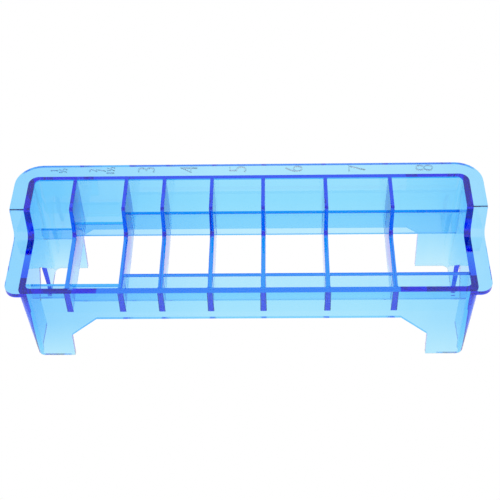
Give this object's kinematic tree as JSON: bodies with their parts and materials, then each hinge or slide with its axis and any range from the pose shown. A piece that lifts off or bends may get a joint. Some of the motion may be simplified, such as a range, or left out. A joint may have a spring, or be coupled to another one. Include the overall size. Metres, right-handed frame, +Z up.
{
  "type": "compartment rack",
  "caption": "Clear blue moulded bench rack on corner legs: open-bottomed bays of growing width between stepped dividers, with a raised rear and a lip along the ends and back.",
  "frame": {"origin": "middle of the footprint, on the surface the legs stand on", "axes": "+X along the length towards the widest bay, +Y from the low front to the high rear, +Z up"},
  "size_m": [0.215, 0.065, 0.0621],
  "materials": {
    "wall_blue": "clear tinted, polished",
    "lip_blue": "clear tinted, polished",
    "divider_blue": "clear tinted, polished",
    "number_blue": "clear tinted, polished"
  },
  "bodies": {
    "root": {"front_wall": "wall_blue", "rear_wall": "wall_blue", "left_end_wall": "wall_blue", "right_end_wall": "wall_blue", "front_left_leg": "wall_blue", "front_right_leg": "wall_blue", "rear_left_leg": "wall_blue", "rear_right_leg": "wall_blue", "left_lip": "lip_blue", "rear_lip": "lip_blue", "right_lip": "lip_blue", "divider_1": "divider_blue", "divider_2": "divider_blue", "divider_3": "divider_blue", "divider_4": "divider_blue", "divider_5": "divider_blue", "divider_6": "divider_blue", "divider_7": "divider_blue", "front_rib_1": "divider_blue", "front_rib_2": "divider_blue", "front_rib_3": "divider_blue", "front_rib_4": "divider_blue", "front_rib_5": "divider_blue", "front_rib_6": "divider_blue", "front_rib_7": "divider_blue", "front_rib_8": "divider_blue", "rear_rib_1": "divider_blue", "rear_rib_2": "divider_blue", "rear_rib_3": "divider_blue", "rear_rib_4": "divider_blue", "rear_rib_5": "divider_blue", "rear_rib_6": "divider_blue", "rear_rib_7": "divider_blue", "rear_rib_8": "divider_blue", "number_1": "number_blue", "number_2": "number_blue", "number_3": "number_blue", "number_4": "number_blue", "number_5": "number_blue", "number_6": "number_blue", "number_7": "number_blue", "number_8": "number_blue"}
  },
  "joints": []
}
